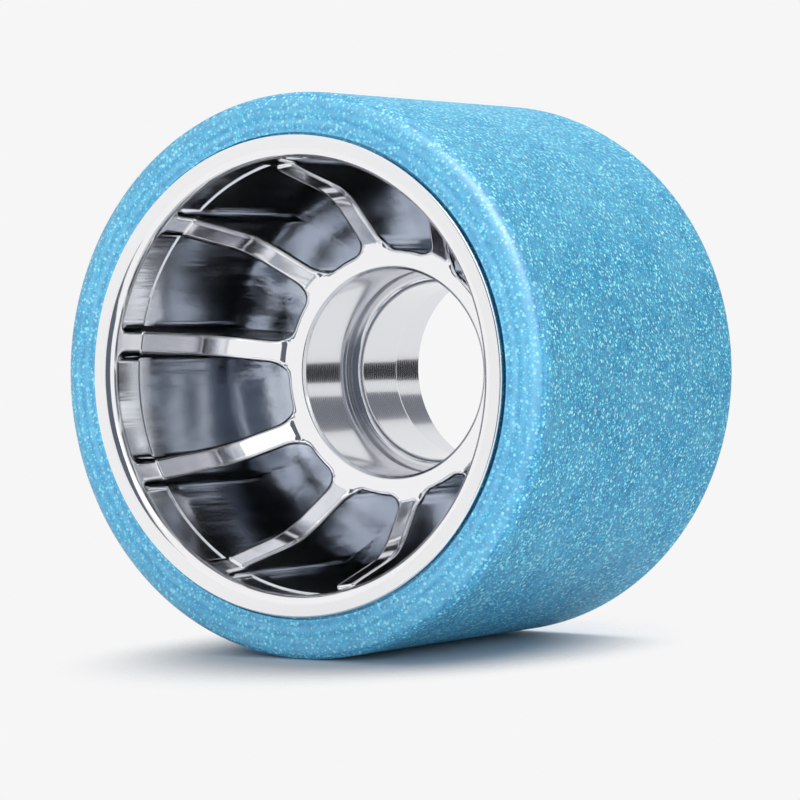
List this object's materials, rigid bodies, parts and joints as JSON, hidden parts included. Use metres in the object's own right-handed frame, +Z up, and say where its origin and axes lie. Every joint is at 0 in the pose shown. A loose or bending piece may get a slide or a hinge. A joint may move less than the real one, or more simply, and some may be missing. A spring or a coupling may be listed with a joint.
{
  "type": "roller skate wheel",
  "caption": "Wide round-shouldered urethane skate wheel on a dished, spoked metal hub with a bearing seat on each side.",
  "frame": {"origin": "the wheel's centre, on its axis halfway between the two lip faces", "axes": "+Y along the wheel's axis toward its closed back, -Y out of the dished front, +Z up"},
  "size_m": [0.058, 0.0442, 0.058],
  "materials": {
    "hub": "polished cast aluminium, with turned bores and a satin lip face",
    "tyre": "glossy sky-blue cast urethane with fine silver glitter in it and a turned tread"
  },
  "bodies": {
    "root": {"hub": "hub", "tyre": "tyre"}
  },
  "joints": []
}
